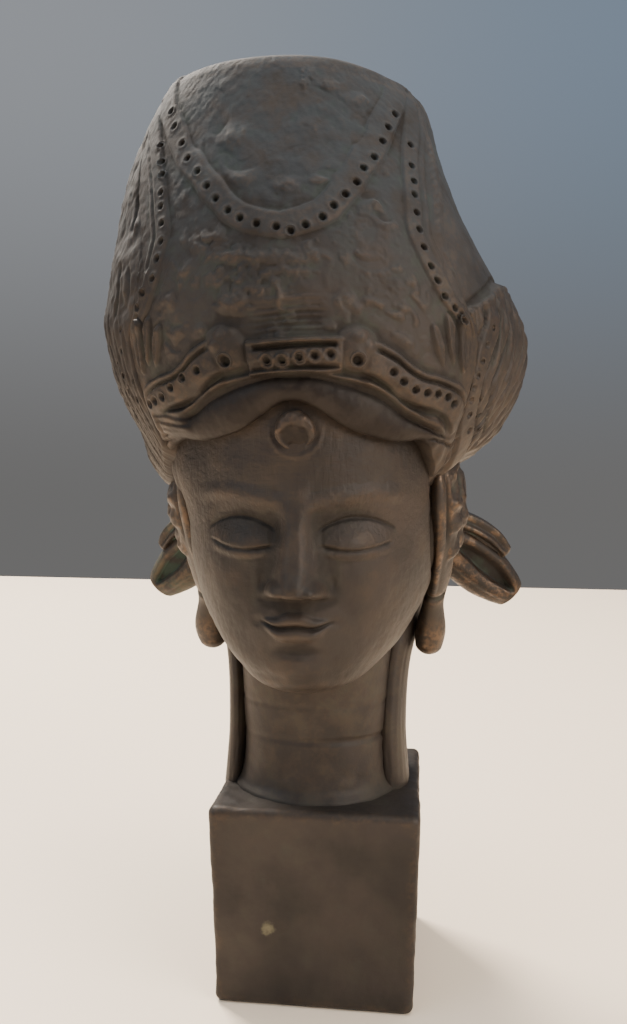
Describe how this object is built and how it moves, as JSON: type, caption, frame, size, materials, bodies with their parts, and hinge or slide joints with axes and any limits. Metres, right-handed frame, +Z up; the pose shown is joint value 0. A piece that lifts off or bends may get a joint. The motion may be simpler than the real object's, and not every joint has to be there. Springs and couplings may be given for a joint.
{
  "type": "bronze guanyin head",
  "caption": "Small cast bronze head of a bodhisattva in a tall carved crown, with long ears and bow loops, on a square block.",
  "frame": {"origin": "middle of the square block's flat underside", "axes": "+Z up along the figure's height, -Y the way the face looks, +X towards the figure's left hand side"},
  "size_m": [0.0776, 0.0717, 0.1545],
  "materials": {
    "bronze": null
  },
  "bodies": {
    "root": {"guanyin_head": "bronze"}
  },
  "joints": []
}
